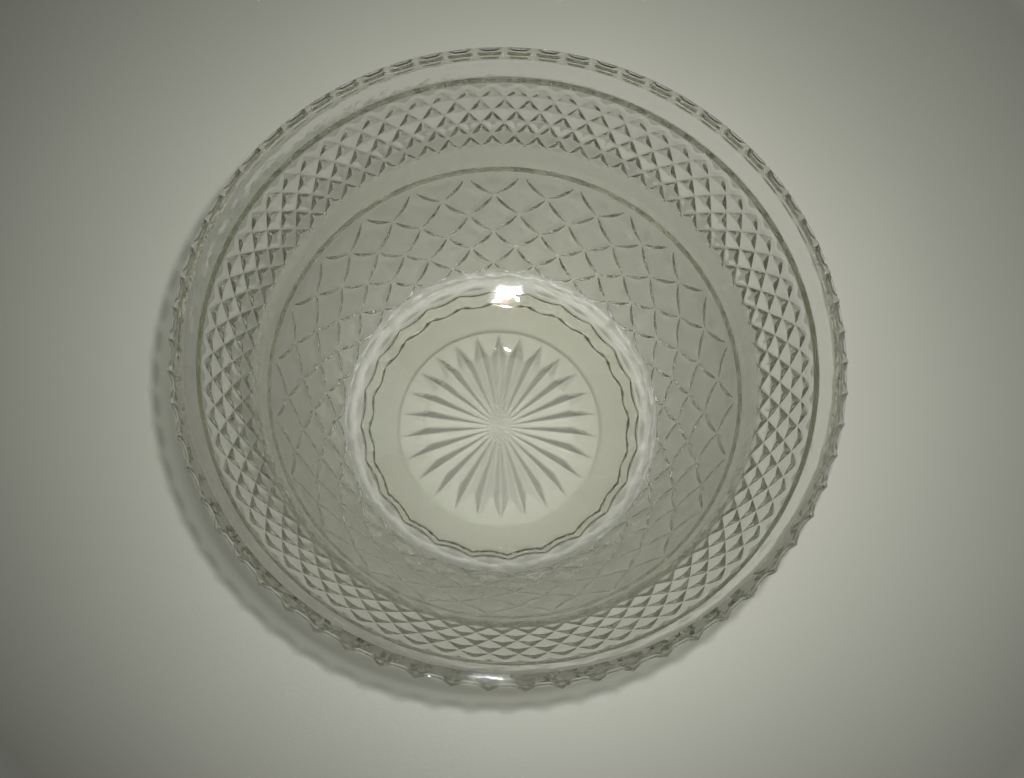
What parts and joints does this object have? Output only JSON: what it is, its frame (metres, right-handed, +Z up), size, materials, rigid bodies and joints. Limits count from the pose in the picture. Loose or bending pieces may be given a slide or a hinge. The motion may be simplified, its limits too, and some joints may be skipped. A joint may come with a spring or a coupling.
{
  "type": "punch bowl",
  "caption": "Clear pressed-glass punch bowl with a fluted rim, diamond bands, a low fluted foot and a star under the base.",
  "frame": {"origin": "centre of the face the bowl stands on, on the axis of the bowl", "axes": "+Z up along the bowl's axis to its mouth; +X and +Y lie in the standing face, and the bowl has no front"},
  "size_m": [0.305, 0.305, 0.165],
  "materials": {
    "glass": "gloss"
  },
  "bodies": {
    "root": {"bowl": "glass"}
  },
  "joints": []
}
